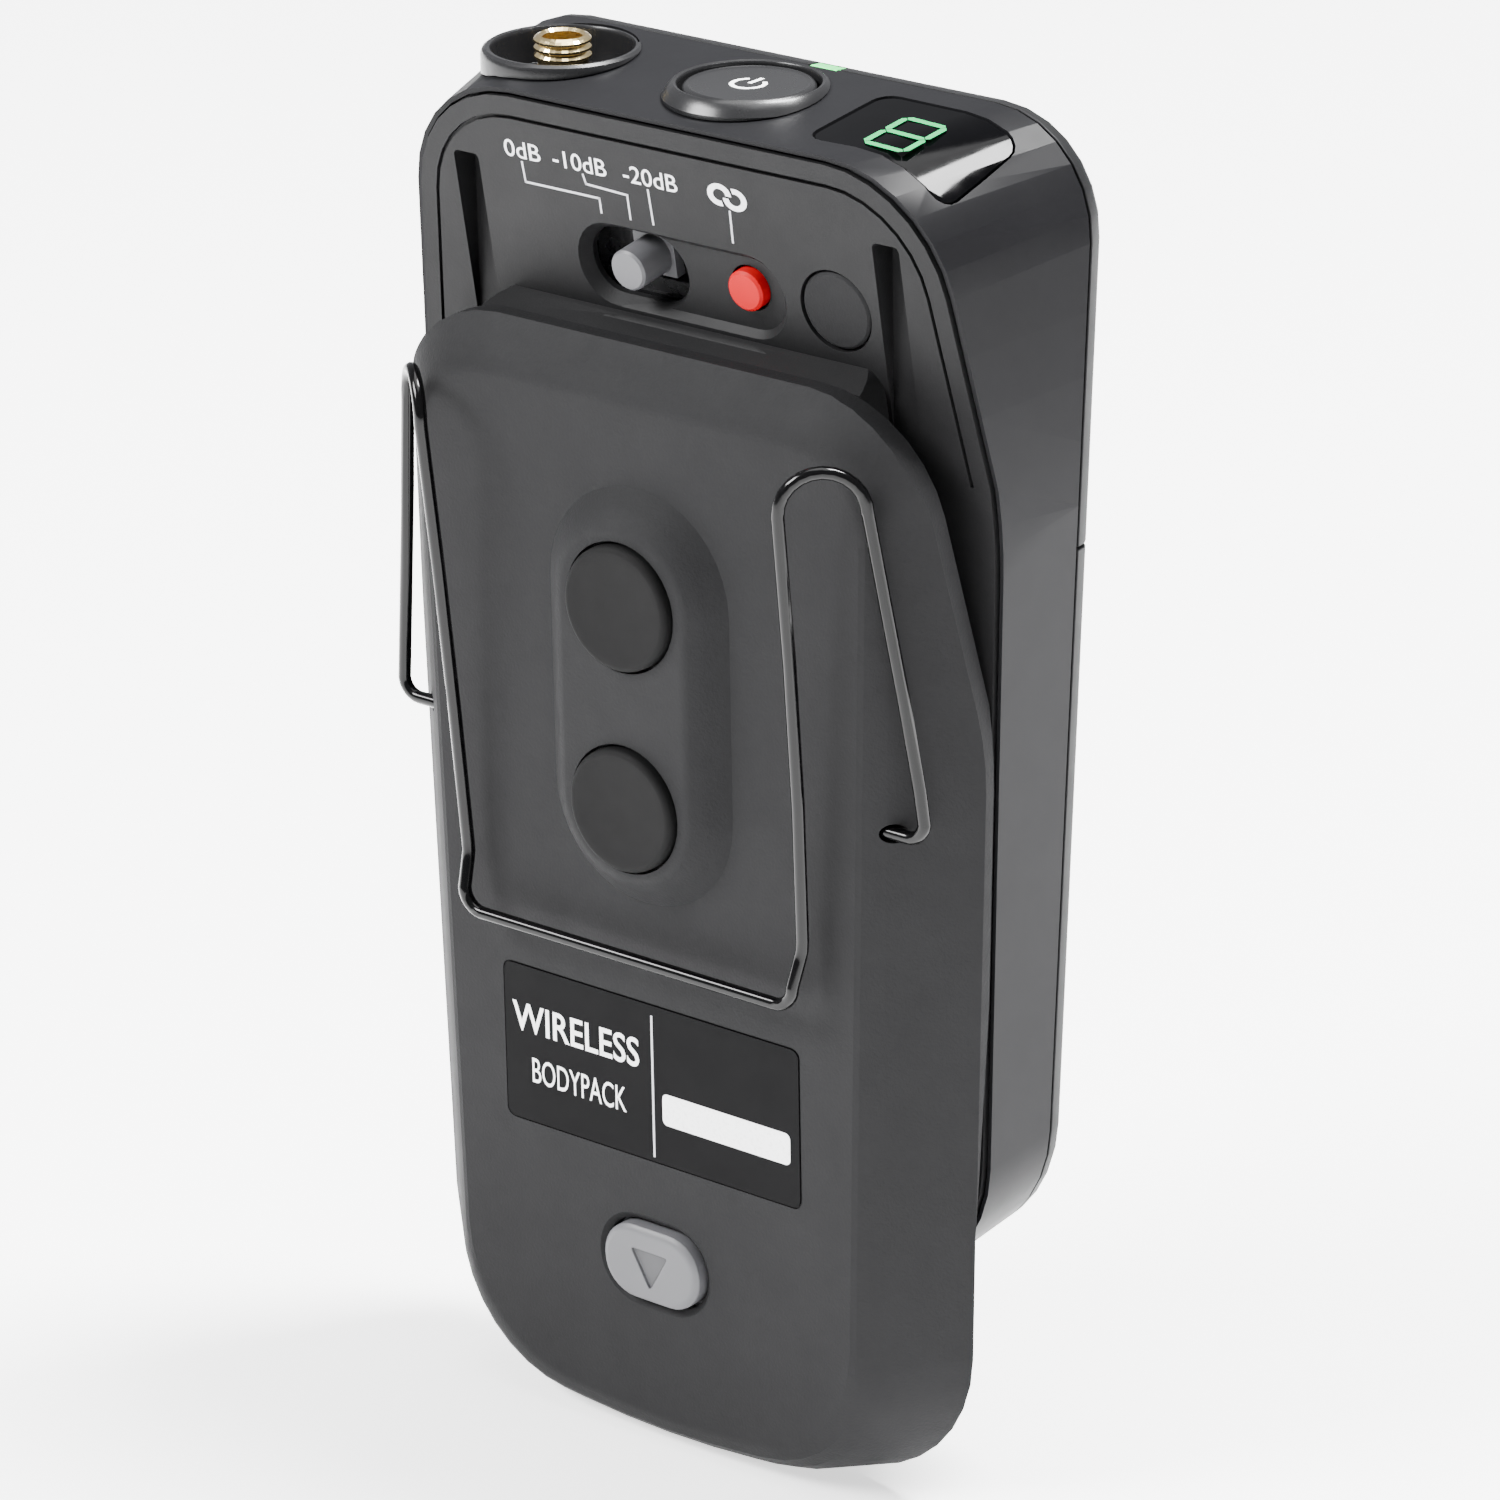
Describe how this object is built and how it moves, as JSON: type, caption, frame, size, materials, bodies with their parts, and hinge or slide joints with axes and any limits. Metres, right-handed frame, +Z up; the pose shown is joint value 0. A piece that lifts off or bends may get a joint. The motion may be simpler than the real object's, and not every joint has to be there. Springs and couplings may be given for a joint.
{
  "type": "wireless bodypack transmitter",
  "caption": "Pocket radio transmitter case with a sliding battery cover, bent wire belt clip, locking jack, power button, level slider, pairing button and a small display window.",
  "frame": {"origin": "centre of the bounding box at its bottom, which is the lower edge of the battery cover as it stands slid open", "axes": "+Z up towards the jack and the power button, +Y towards the plain front panel, -Y towards the battery cover and its belt clip, +X to the right seen from the cover side"},
  "size_m": [0.065, 0.0288, 0.124],
  "materials": {
    "satin_plastic": "black plastic with a soft satin sheen and a very fine texture",
    "chassis_plastic": "moulded matt black plastic",
    "cover_plastic": "moulded matt charcoal plastic with a fine grain",
    "black_plastic": "smooth black plastic",
    "front_plastic": "fine grained black plastic",
    "grey_plastic": "smooth mid grey plastic",
    "red_plastic": "smooth red plastic",
    "black_gloss": "polished black tinted plastic",
    "light_plastic": "clear green light guide",
    "rubber": "soft black rubber",
    "label": "thin black label film with blank fields",
    "wire_black": "spring wire with a glossy black coating",
    "gold": "gold plated turned metal",
    "steel": "plain bright steel",
    "brass": "thin pressed brass strip",
    "board": "green circuit board laminate with solder mask",
    "cell": "steel battery can in a dark printed sleeve, no words"
  },
  "bodies": {
    "transmitter_body": {"side_sleeve": "satin_plastic", "front_panel": "front_plastic", "antenna_cover": "front_plastic", "status_light": "light_plastic", "rear_chassis": "chassis_plastic", "attenuator_switch": "black_plastic", "pair_switch": "steel", "control_board": "board", "panel_plug": "cover_plastic", "power_button_bezel": "black_plastic", "power_switch": "steel", "jack_boss": "black_plastic", "input_jack": "gold", "display_window": "black_gloss", "display_module": "black_gloss", "main_board": "board", "radio_shield": "steel", "top_board": "board", "antenna_strip": "brass", "battery_left": "cell", "battery_right": "cell", "contact_plate_left": "steel", "contact_plate_right": "steel", "contact_spring_left": "steel", "contact_spring_right": "steel", "case_screw_1": "steel", "case_screw_2": "steel", "case_screw_3": "steel", "case_screw_4": "steel"},
    "cover": {"battery_cover": "cover_plastic", "grip_disc_upper": "rubber", "grip_disc_lower": "rubber", "rating_label": "label", "latch_spring": "steel"},
    "release_key": {"release_button": "grey_plastic", "release_latch": "grey_plastic"},
    "clip": {"belt_clip": "wire_black"},
    "power_key": {"power_button": "black_plastic"},
    "pair_key": {"pair_button": "red_plastic"},
    "attenuator_slider": {"attenuator_knob": "grey_plastic"}
  },
  "joints": [
    {"name": "cover_slide", "type": "slide", "parent": "transmitter_body", "child": "cover", "axis": [0, 0, 1], "range_m": [0, 0.0186]},
    {"name": "clip_flex", "type": "hinge", "parent": "cover", "child": "clip", "pos_m": [0, -0.00673, 0.0648], "axis": [1, 0, 0], "range_deg": [0, 5.5], "stiffness_Nm_per_rad": 0.6},
    {"name": "release_press", "type": "slide", "parent": "cover", "child": "release_key", "axis": [0, 1, 0], "range_m": [0, 0.001], "stiffness_N_per_m": 1200, "springref_m": -0.0005},
    {"name": "power_press", "type": "slide", "parent": "transmitter_body", "child": "power_key", "axis": [0, 0, -1], "range_m": [0, 0.0006], "stiffness_N_per_m": 1500, "springref_m": -0.0003},
    {"name": "pair_press", "type": "slide", "parent": "transmitter_body", "child": "pair_key", "axis": [0, 0.9867, 0.1628], "range_m": [0, 0.0005], "stiffness_N_per_m": 1500, "springref_m": -0.0003},
    {"name": "attenuator_slide", "type": "slide", "parent": "transmitter_body", "child": "attenuator_slider", "axis": [1, 0, 0], "range_m": [-0.0032, 0.0025]}
  ]
}
